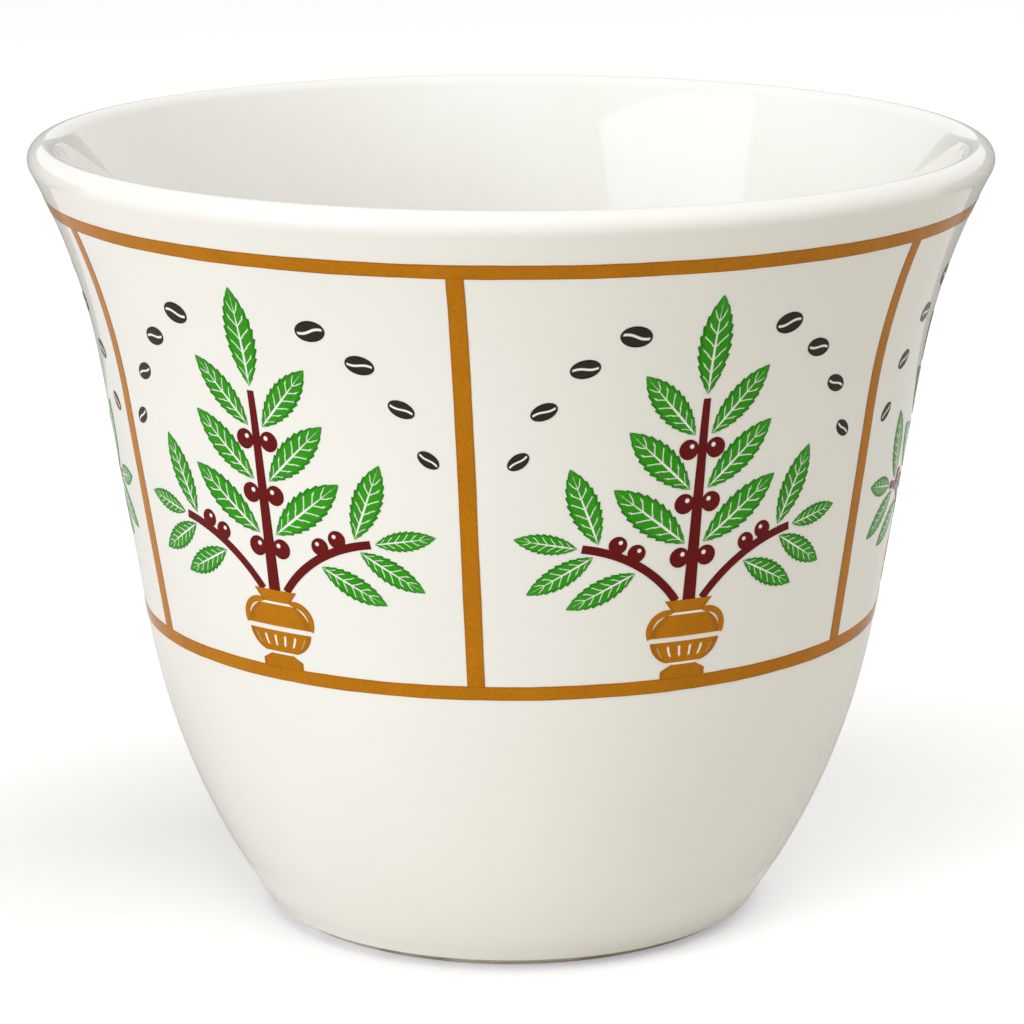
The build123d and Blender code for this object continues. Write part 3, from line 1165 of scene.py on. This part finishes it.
@dataclass
class EnamelLines:
    """The two ochre lines round the cup and the six upright dividers between them."""

    shop: Workshop
    line_width: float = 0.94 * MM
    upper_line_drop: float = 3.35 * MM
    lower_line_height: float = 21.36 * MM
    divider_width: float = 1.15 * MM
    divider_lean: float = 0.65 * MM
    divider_turns: tuple[float, ...] = (-64.6, -5.7, 56.6, 116.4, 176.2, 235.8)
    film: float = 0.03 * MM
    sink: float = 0.03 * MM
    unevenness: float = 0.009 * MM
    low_edge_waves: tuple[int, ...] = (23, 61, 97)
    high_edge_waves: tuple[int, ...] = (19, 53, 101)
    left_edge_waves: tuple[int, ...] = (2, 5, 9)
    right_edge_waves: tuple[int, ...] = (3, 4, 11)
    upper_line_shift: float = 0.7
    lower_line_shift: float = 2.9
    high_edge_shift: float = 1.3
    right_edge_shift: float = 2.1
    steps_round: int = 480
    steps_up: int = 90
    sharp: float = 40.0

    @property
    def panel_floor(self) -> float:
        """Top edge of the lower line."""
        return self.lower_line_height + self.line_width

    @property
    def panel_ceiling(self) -> float:
        """Bottom edge of the upper line."""
        return self.shop.section.cup_height - self.upper_line_drop - self.line_width

    @property
    def panel_turns(self) -> list[float]:
        """Turn of the middle of each panel."""
        following = self.divider_turns[1:] + (self.divider_turns[0] + 360,)
        return [(left + right) / 2 for left, right in zip(self.divider_turns, following)]

    def wander(self, share: np.ndarray, waves: tuple[int, ...], shift: float) -> np.ndarray:
        """Small unevenness of a painted edge: a sum of sines with whole numbers of waves.

        Args:
            share: Share of the way along the edge.
            waves: How many waves each sine has.
            shift: Phase that sets edges apart.

        Returns:
            Offsets of the edge.
        """
        parts = [np.sin(2 * pi * count * share + shift * k) / k for k, count in enumerate(waves, start=1)]
        return self.unevenness * np.sum(parts, axis=0)

    def build(self) -> None:
        """Builds and dresses the lines and the dividers."""
        ochre = OCHRE_ENAMEL.material(self.shop.effects, Motif.LINE)
        self._line("upper_line", self.panel_ceiling, self.upper_line_shift, ochre)
        self._line("lower_line", self.lower_line_height, self.lower_line_shift, ochre)
        for number, turn in enumerate(self.divider_turns, start=1):
            self._divider(f"divider_{number}", turn, float(number), ochre)

    def _line(self, node: str, foot: float, shift: float, finish: bpy.types.Material) -> None:
        """One line all round the cup, between two slightly uneven edges.

        Args:
            node: The CAD node that it replaces.
            foot: Height of its lower edge.
            shift: Phase of its unevenness.
            finish: Its material.
        """
        cup = self.shop.section
        share = np.arange(self.steps_round)[:, None] / self.steps_round
        low = foot + self.wander(share, self.low_edge_waves, shift)
        high = self.wander(share, self.high_edge_waves, shift + self.high_edge_shift) + foot + self.line_width
        height = low + (high - low) * LINE_COLUMNS
        angle = 2 * pi * share
        mesh = PieceMesh(f"{node}_print")
        mesh.add_band(
            cup.off_skin(angle, height, self.film),
            cup.off_skin(angle, height, -self.sink),
            spread(share, LINE_COLUMNS),
        )
        self.shop.place(mesh, finish, Slot.OCHRE, node, self.sharp)

    def _divider(self, node: str, turn: float, shift: float, finish: bpy.types.Material) -> None:
        """One upright divider, which drifts sideways a little from foot to top.

        Args:
            node: The CAD node that it replaces.
            turn: Turn in degrees of its middle.
            shift: Phase of its unevenness.
            finish: Its material.
        """
        cup = self.shop.section
        up = np.linspace(0, 1, self.steps_up)[:, None]
        middle, half = self.divider_lean * (0.5 - up), self.divider_width / 2
        left = middle - half + self.wander(up, self.left_edge_waves, shift)
        right = middle + half + self.wander(up, self.right_edge_waves, shift + self.right_edge_shift)
        across = left + (right - left) * LINE_COLUMNS
        height = self.panel_floor + (self.panel_ceiling - self.panel_floor) * up + 0 * across
        mesh = PieceMesh(f"{node}_print")
        mesh.add_slab(
            cup.wrap(across, height, turn, self.film),
            cup.wrap(across, height, turn, -self.sink),
            spread(up, LINE_COLUMNS),
        )
        self.shop.place(mesh, finish, Slot.OCHRE, node, self.sharp)


@dataclass(frozen=True)
class Patch:
    """One shape of a flat drawing: a grid of places, sideways from its middle and up from its foot, and UVs.

    The layer counts the films that lie under it.
    """

    places: np.ndarray
    uv: np.ndarray
    layer: int = 0

    def mirrored(self) -> "Patch":
        """The same shape on the other side of the drawing's middle."""
        return Patch(self.places * [-1, 1], self.uv, self.layer)


def with_mirrors(patches: list[Patch]) -> list[Patch]:
    """Each patch, followed by its mirror image."""
    return [side for patch in patches for side in (patch, patch.mirrored())]


@dataclass
class SprigPanels:
    """A coffee sprig in a vase, printed in four colours in each panel."""

    shop: Workshop
    lines: EnamelLines
    leaf_gap: float = 0.3 * MM
    leaf_slimness: float = 0.37
    top_leaf: float = 6.7 * MM
    first_node: float = 9.3 * MM
    node_spacing: float = 3.65 * MM
    node_count: int = 3
    pair_leaf: float = 6.5 * MM
    pair_step: float = 0.4 * MM
    pair_rise: float = 38.0
    rise_step: float = 5.0
    stem_foot_width: float = 0.9 * MM
    stem_tip_width: float = 0.5 * MM
    stem_above_node: float = 2.4 * MM
    spray_width: float = 0.55 * MM
    spray_start: float = 0.95 * MM
    spray_middle: tuple[float, float] = (4.2 * MM, 2.9 * MM)
    spray_reach: float = 7.48 * MM
    spray_rise: float = 4.0 * MM
    spray_tip_leaf: float = 3.9 * MM
    spray_tip_turn: float = 2.0
    spray_leaves: tuple[tuple[float, float, float], ...] = (
        (0.44, -62.0, 4.8 * MM),
        (0.84, 52.0, 5.6 * MM),
        (0.84, -48.0, 4.6 * MM),
    )
    berry_radius: float = 0.68 * MM
    berry_drop: float = 0.95 * MM
    berry_spread: float = 0.95 * MM
    spray_berry_radius: float = 0.6 * MM
    spray_berry_places: tuple[float, ...] = (0.52, 0.7)
    spray_berry_rise: float = 0.75 * MM
    bean_count: int = 4
    bean_length: float = 2.1 * MM
    bean_width: float = 1.4 * MM
    bean_shrink: float = 0.105
    bean_first_turn: float = 27.0
    bean_turn_step: float = 17.0
    bean_tilt: float = 35.0
    bean_arc_height: float = 12.9 * MM
    bean_arc_radius: float = 11.95 * MM
    vase_height: float = 5.4 * MM
    vase_foot_half: float = 1.6 * MM
    vase_foot_height: float = 0.5 * MM
    vase_stem_half: float = 0.7 * MM
    vase_stem_height: float = 1.0 * MM
    vase_belly_half: float = 2.5 * MM
    vase_belly_height: float = 2.7 * MM
    vase_neck_half: float = 1.0 * MM
    vase_neck_height: float = 4.5 * MM
    vase_mouth_half: float = 1.7 * MM
    vase_band_width: float = 0.35 * MM
    vase_handle_width: float = 0.42 * MM
    vase_handle_bulge: float = 0.75 * MM
    tooth_count: int = 10
    tooth_depth: float = 0.17
    tooth_points: int = 8
    layer_step: float = 0.004 * MM
    stem_points: int = 60
    spray_points: int = 101
    berry_points: int = 15
    bean_points: int = 17
    vase_points: int = 45
    handle_points: int = 30
    ribbon_uv: tuple[float, float] = (5.0, 6.0)

    @property
    def nodes(self) -> list[float]:
        """Heights of the leaf pairs above the foot of the vase."""
        return [self.first_node + self.node_spacing * k for k in range(self.node_count)]

    @property
    def stem_height(self) -> float:
        """Top of the stem above the foot of the vase."""
        return self.nodes[-1] + self.stem_above_node

    @cached_property
    def spray(self) -> np.ndarray:
        """Arched side stem: the arc through its start, middle and end.

        Returns:
            Evenly spaced points.
        """
        start = np.array([self.spray_start, self.vase_height])
        middle = np.array([self.spray_middle[0], self.vase_height + self.spray_middle[1]])
        end = np.array([self.spray_reach, self.vase_height + self.spray_rise])
        return arc(circle_through(start, middle, end), start, end, self.spray_points)

    def spray_at(self, place: float) -> tuple[np.ndarray, float]:
        """Point and heading of the spray at a share of its length.

        Args:
            place: Share of its length.

        Returns:
            The point, and the heading in degrees above the horizontal.
        """
        index = place * (len(self.spray) - 1)
        low = min(int(index), len(self.spray) - 2)
        run = self.spray[low + 1] - self.spray[low]
        return self.spray[low] + run * (index - low), float(np.degrees(np.arctan2(run[1], run[0])))

    def build(self) -> None:
        """Builds and dresses the four prints of every panel."""
        for layer, patches, finish, motif in (
            ("leaves", self.leaves(), GREEN_ENAMEL, Motif.LEAF),
            ("stems", self.stems(), MAROON_ENAMEL, Motif.BERRY),
            ("beans", self.beans(), BLACK_ENAMEL, Motif.BEAN),
            ("vase", self.vase(), OCHRE_ENAMEL, Motif.VASE),
        ):
            material = finish.material(self.shop.effects, motif)
            for number, turn in enumerate(self.lines.panel_turns, start=1):
                node = f"panel_{number}_{layer}"
                mesh = PieceMesh(f"{node}_print")
                for patch in patches:
                    self.lay(mesh, turn, patch)
                self.shop.place(mesh, material, finish.slot, node, self.lines.sharp)

    def lay(self, mesh: PieceMesh, turn: float, patch: Patch) -> None:
        """Lays one patch on the cup as a thin film, lifted a little by each film under it.

        Args:
            mesh: The piece that it joins.
            turn: Turn in degrees of the panel's middle.
            patch: The patch.
        """
        cup = self.shop.section
        across, height = patch.places[..., 0], self.lines.panel_floor + patch.places[..., 1]
        lift = self.lines.film + patch.layer * self.layer_step
        top = cup.wrap(across, height, turn, lift)
        mesh.add_slab(top, cup.wrap(across, height, turn, -self.lines.sink), patch.uv)

    def leaf(self, base: np.ndarray, heading: float, length: float) -> Patch:
        """Pointed leaf between two equal arcs, with teeth that rise towards the tip and drop sharply.

        The half width is that of the arc, times 1 less a saw tooth; the rows run along the leaf.

        Args:
            base: Place of its base.
            heading: Direction of its tip in degrees.
            length: Its length.

        Returns:
            The leaf.
        """
        along = np.linspace(0, 1, self.tooth_count * self.tooth_points + 1)[:, None]
        half = length * self.leaf_slimness / 2
        radius = (length**2 / 4 + half**2) / (2 * half)
        width = np.sqrt(radius**2 - ((along - 0.5) * length) ** 2) - (radius - half)
        tooth = 1 - self.tooth_depth * (1 - (along * self.tooth_count) % 1)
        places = rotated(along * length + 0 * BLADE_COLUMNS, width * tooth * BLADE_COLUMNS, heading)
        return Patch(places + base, spread(along, (BLADE_COLUMNS + 1) / 2))

    def ribbon(self, path: np.ndarray, width: np.ndarray) -> Patch:
        """Strip along a path: each point moves sideways along the path's normal by half its width.

        Args:
            path: Array of (n, 2) places.
            width: Widths at those places.

        Returns:
            The strip, with UVs outside the unit square, where no reserve is.
        """
        run = np.gradient(path, axis=0)
        run /= np.linalg.norm(run, axis=1, keepdims=True)
        normal = np.stack([-run[:, 1], run[:, 0]], axis=-1)
        places = path[:, None] + normal[:, None] * (width[:, None] / 2 * STEM_COLUMNS)[..., None]
        along = np.linspace(*self.ribbon_uv, len(path))[:, None]
        return Patch(places, spread(along, (STEM_COLUMNS + 1) / 2))

    def disc(self, centre: np.ndarray, size: np.ndarray, tilt: float, fine: int, layer: int = 0) -> Patch:
        """Ellipse as a square grid eased to a round: u times the root of 1 less half of v squared.

        Args:
            centre: Its middle.
            size: Its length and width.
            tilt: Turn of its length in degrees.
            fine: Points along each side of the grid.
            layer: How many films lie under it.

        Returns:
            The ellipse.
        """
        u, v = np.meshgrid(*[np.linspace(-1, 1, fine)] * 2, indexing="ij")
        round_u, round_v = u * np.sqrt(1 - v**2 / 2), v * np.sqrt(1 - u**2 / 2)
        places = rotated(round_u * size[0] / 2, round_v * size[1] / 2, tilt) + centre
        return Patch(places, (spread(round_u, round_v) + 1) / 2, layer)

    def berry(self, centre: np.ndarray, radius: float) -> Patch:
        """Round berry on its stem."""
        return self.disc(centre, np.full(2, 2 * radius), 0, self.berry_points, layer=1)

    def leaves(self) -> list[Patch]:
        """Green: pairs up the stem, the leaves of both sprays and the top leaf.

        Returns:
            The patches of the drawing.
        """
        sides = []
        for k, node in enumerate(self.nodes):
            taper = (self.stem_tip_width - self.stem_foot_width) * node / self.stem_height
            base = np.array([(self.stem_foot_width + taper) / 2 + self.leaf_gap, node])
            rise, length = self.pair_rise + self.rise_step * k, self.pair_leaf - self.pair_step * k
            sides.append(self.leaf(base, rise, length))
        for place, lean, length in self.spray_leaves:
            point, heading = self.spray_at(place)
            base = point + unit(radians(heading + lean)) * (self.spray_width / 2 + self.leaf_gap)
            sides.append(self.leaf(base, heading + lean, length))
        point, heading = self.spray_at(1)
        base = point + unit(radians(heading)) * self.leaf_gap
        sides.append(self.leaf(base, heading + self.spray_tip_turn, self.spray_tip_leaf))
        top_base = np.array([0, self.stem_height + self.leaf_gap])
        return with_mirrors(sides) + [self.leaf(top_base, 90, self.top_leaf)]

    def stems(self) -> list[Patch]:
        """Maroon: the stem, both sprays and the berries on them.

        Returns:
            The patches of the drawing.
        """
        up = np.linspace(self.vase_height, self.stem_height, self.stem_points)
        widths = np.linspace(self.stem_foot_width, self.stem_tip_width, self.stem_points)
        stem = self.ribbon(spread(0 * up, up), widths)
        sides = [self.ribbon(self.spray, np.full(len(self.spray), self.spray_width))]
        for node in self.nodes:
            sides.append(self.berry(np.array([self.berry_spread, node - self.berry_drop]), self.berry_radius))
        for place in self.spray_berry_places:
            centre = self.spray_at(place)[0] + np.array([0, self.spray_berry_rise])
            sides.append(self.berry(centre, self.spray_berry_radius))
        return [stem] + with_mirrors(sides)

    def beans(self) -> list[Patch]:
        """Black: beans in an arc round the top of the sprig, smaller towards its ends.

        Returns:
            The patches of the drawing.
        """
        sides = []
        for k in range(self.bean_count):
            around = self.bean_first_turn + self.bean_turn_step * k
            out = self.bean_arc_radius * np.array([sin(radians(around)), cos(radians(around))])
            size = np.array([self.bean_length, self.bean_width]) * (1 - self.bean_shrink * k)
            centre = out + np.array([0, self.bean_arc_height])
            sides.append(self.disc(centre, size, self.bean_tilt - around, self.bean_points))
        return with_mirrors(sides)

    def vase_half(self, height: np.ndarray) -> np.ndarray:
        """Half width of the vase: foot, taper to the stem, belly arc through three points, and flaring mouth.

        Args:
            height: Heights above its foot.

        Returns:
            Half widths.
        """
        stem = np.array([self.vase_stem_half, self.vase_stem_height])
        belly = np.array([self.vase_belly_half, self.vase_belly_height])
        neck = np.array([self.vase_neck_half, self.vase_neck_height])
        centre = circle_through(neck, belly, stem)
        radius = np.linalg.norm(belly - centre)
        round_belly = centre[0] + np.sqrt(np.maximum(radius**2 - (height - centre[1]) ** 2, 0))
        below = np.interp(height, [self.vase_foot_height, stem[1]], [self.vase_foot_half, stem[0]])
        above = np.interp(height, [neck[1], self.vase_height], [neck[0], self.vase_mouth_half])
        return np.select([height < stem[1], height > neck[1]], [below, above], round_belly)

    def vase(self) -> list[Patch]:
        """Ochre: the vase below and above its bare band, and its two handles.

        Returns:
            The patches of the drawing.
        """
        band_foot = self.vase_belly_height - self.vase_band_width / 2
        band_top = self.vase_belly_height + self.vase_band_width / 2
        halves = []
        for low, high in ((0, band_foot), (band_top, self.vase_height)):
            height = np.linspace(low, high, self.vase_points)[:, None]
            places = spread(self.vase_half(height) * BLADE_COLUMNS, height)
            halves.append(Patch(places, spread(height / self.vase_height, (BLADE_COLUMNS + 1) / 2), layer=1))
        neck = np.array([self.vase_neck_half, self.vase_neck_height])
        belly = np.array([self.vase_belly_half, band_top])
        run = neck - np.array([self.vase_belly_half, self.vase_belly_height])
        outwards = np.array([run[1], -run[0]]) / np.linalg.norm(run)
        bulge = (neck + belly) / 2 + outwards * self.vase_handle_bulge
        path = arc(circle_through(neck, bulge, belly), neck, belly, self.handle_points)
        handle = self.ribbon(path, np.full(len(path), self.vase_handle_width))
        return halves + with_mirrors([handle])


def stand_facing(
    data: bpy.types.ID, target: Vector, turn: float, rise: float, distance: float
) -> bpy.types.Object:
    """Stands a lamp or a camera off a point, turned to face it.

    Args:
        data: The lamp or the camera.
        target: The point that it faces.
        turn: Where it stands round the cup, in degrees.
        rise: How far it stands above the horizontal, in degrees.
        distance: Distance from the point.

    Returns:
        Its object.
    """
    flat, up = cos(radians(rise)), sin(radians(rise))
    out = Vector((sin(radians(turn)) * flat, -cos(radians(turn)) * flat, up))
    made = linked(data.name, data)
    made.location = target + out * distance
    made.rotation_mode = "QUATERNION"
    made.rotation_quaternion = (-out).to_track_quat("-Z", "Y")
    return made


def ray_masks(board: NodeBoard) -> tuple[Socket, Socket]:
    """Masks of the rays that show what they meet.

    Args:
        board: Board of the tree.

    Returns:
        1 for camera rays, and 1 for glossy and transmission rays.
    """
    path = board.place("ShaderNodeLightPath")
    mirrored = board.math("MAXIMUM", path.outputs["Is Glossy Ray"], path.outputs["Is Transmission Ray"])
    return path.outputs["Is Camera Ray"], mirrored


@dataclass(frozen=True)
class SoftBox:
    """A rectangular lamp that faces the cup, given by where it stands and how bright it looks."""

    name: str
    turn: float
    rise: float
    width: float
    height: float
    brightness: float
    distance: float = 2.0
    tint: Colour = (0.955, 1.0, 1.065)
    shines: bool = True

    def build(self, target: Vector) -> None:
        """Places the lamp; its power is pi times its area times its brightness.

        Args:
            target: The point that it faces.
        """
        lamp = bpy.data.lights.new(self.name, "AREA")
        lamp.shape = "RECTANGLE"
        lamp.size, lamp.size_y = self.width, self.height
        lamp.energy = pi * self.width * self.height * self.brightness
        lamp.color = self.tint
        made = stand_facing(lamp, target, self.turn, self.rise, self.distance)
        made.visible_glossy = self.shines


@dataclass(frozen=True)
class GreyCard:
    """A card bent round the cup that only its gloss shows, so that its sides stand out from the white.

    Its inner and outer edges are each a distance from the axis and a height.
    """

    name: str
    inner: tuple[float, float]
    outer: tuple[float, float]
    grey: float
    turns: tuple[float, float] = (0.0, 360.0)
    steps: int = 65

    def build(self) -> None:
        """Sweeps the line between its two edges through its turns, and hides it from all but glossy rays."""
        angles = np.radians(np.linspace(*self.turns, self.steps))
        rows = [
            np.c_[out * np.sin(angles), -out * np.cos(angles), np.full(self.steps, height)]
            for out, height in (self.inner, self.outer)
        ]
        index = np.arange(self.steps - 1)
        faces = np.stack([index, index + 1, index + 1 + self.steps, index + self.steps], axis=-1)
        mesh = bpy.data.meshes.new(self.name)
        mesh.from_pydata(np.concatenate(rows), [], faces.tolist())
        made, _, shader = principled(self.name)
        shader.inputs["Base Color"].default_value = (self.grey, self.grey, self.grey, 1)
        shader.inputs["Roughness"].default_value = MATT
        mesh.materials.append(made)
        card = linked(self.name, mesh)
        for ray in ("camera", "diffuse", "shadow", "transmission", "volume_scatter"):
            setattr(card, f"visible_{ray}", False)


@dataclass
class Studio:
    """White floor, soft light and the camera of the photograph."""

    floor_half: float = 3.0
    floor_white: Colour = (0.81, 0.79, 0.735)
    floor_lift: Colour = (0.33, 0.345, 0.39)
    floor_lift_in_gloss: float = 0.55
    sky: Colour = (0.215, 0.175, 0.105)
    seen_sky: Colour = (1.0, 1.0, 1.0)
    camera_distance: float = 278.41 * MM
    camera_rise: float = 13.727
    camera_lens: float = 139.57
    camera_sensor: float = 36.0
    camera_clip: tuple[float, float] = (0.01, 20.0)
    target: tuple[float, float, float] = (0.067 * MM, 0.0, 27.593 * MM)
    lamps: tuple[SoftBox, ...] = (
        SoftBox("key_softbox", turn=-53.5, rise=21.7, width=1.5, height=1.56, brightness=1.45),
        SoftBox("side_fill", turn=-46, rise=18, width=1.6, height=1.1, brightness=2.6, shines=False),
        SoftBox("top_softbox", turn=0, rise=70, width=1.3, height=1.3, brightness=3.55, shines=False),
        SoftBox("right_softbox", turn=98, rise=52, width=1.3, height=1.3, brightness=2.75, shines=False),
    )
    cards: tuple[GreyCard, ...] = (
        GreyCard("floor_card", (20 * MM, 0.3 * MM), (250 * MM, 0.3 * MM), grey=0.8),
        GreyCard("far_card", (160 * MM, 0.6 * MM), (600 * MM, 0.6 * MM), grey=0.37, turns=(115, 245)),
        GreyCard("horizon_card", (600 * MM, 0.6 * MM), (600 * MM, 145 * MM), grey=0.37, turns=(115, 245)),
    )

    def build(self) -> None:
        """Builds the floor, the world, the cards, the lamps and the camera."""
        self._floor()
        self._world()
        for card in self.cards:
            card.build()
        for lamp in self.lamps:
            lamp.build(Vector(self.target))
        self._camera()
        bpy.context.scene.view_settings.view_transform = "Standard"

    def _floor(self) -> None:
        """White floor that keeps the cup's shadow, lifted towards white where it is seen."""
        half = self.floor_half
        corners = [(-half, -half, 0), (half, -half, 0), (half, half, 0), (-half, half, 0)]
        mesh = bpy.data.meshes.new("floor")
        mesh.from_pydata(corners, [], [(0, 1, 2, 3)])
        made, board, shader = principled("white_paper")
        shader.inputs["Base Color"].default_value = (*self.floor_white, 1)
        shader.inputs["Roughness"].default_value = MATT
        shader.inputs["Specular IOR Level"].default_value = 0.0
        glow = board.place("ShaderNodeEmission")
        glow.inputs["Color"].default_value = (*self.floor_lift, 1)
        seen, mirrored = ray_masks(board)
        part = board.math("MULTIPLY", mirrored, self.floor_lift_in_gloss)
        board.feed(glow.inputs["Strength"], board.math("MAXIMUM", seen, part))
        both = board.place("ShaderNodeAddShader")
        board.feed(both.inputs[0], shader.outputs[0])
        board.feed(both.inputs[1], glow.outputs[0])
        board.feed(made.node_tree.nodes["Material Output"].inputs["Surface"], both.outputs[0])
        mesh.materials.append(made)
        linked("floor", mesh)

    def _world(self) -> None:
        """Even soft light from all round, white where it is seen."""
        world = bpy.data.worlds.new("studio")
        world.use_nodes = True
        board = NodeBoard(world.node_tree)
        seen = board.math("MAXIMUM", *ray_masks(board))
        back = world.node_tree.nodes["Background"]
        board.feed(back.inputs["Color"], board.blend(seen, self.sky, self.seen_sky))
        bpy.context.scene.world = world

    def _camera(self) -> None:
        """Camera at the photograph's height and distance, in front of the cup."""
        lens = bpy.data.cameras.new("camera")
        lens.lens, lens.sensor_width = self.camera_lens, self.camera_sensor
        lens.clip_start, lens.clip_end = self.camera_clip
        camera = stand_facing(lens, Vector(self.target), 0, self.camera_rise, self.camera_distance)
        bpy.context.scene.camera = camera


def main() -> None:
    """Builds the cup, its prints and the studio."""
    logging.basicConfig(level=logging.INFO, format="%(message)s")
    shop = Workshop()
    lines = EnamelLines(shop)
    for part in (Pot(shop), lines, SprigPanels(shop, lines), Studio()):
        part.build()


if __name__ == "__main__":
    main()
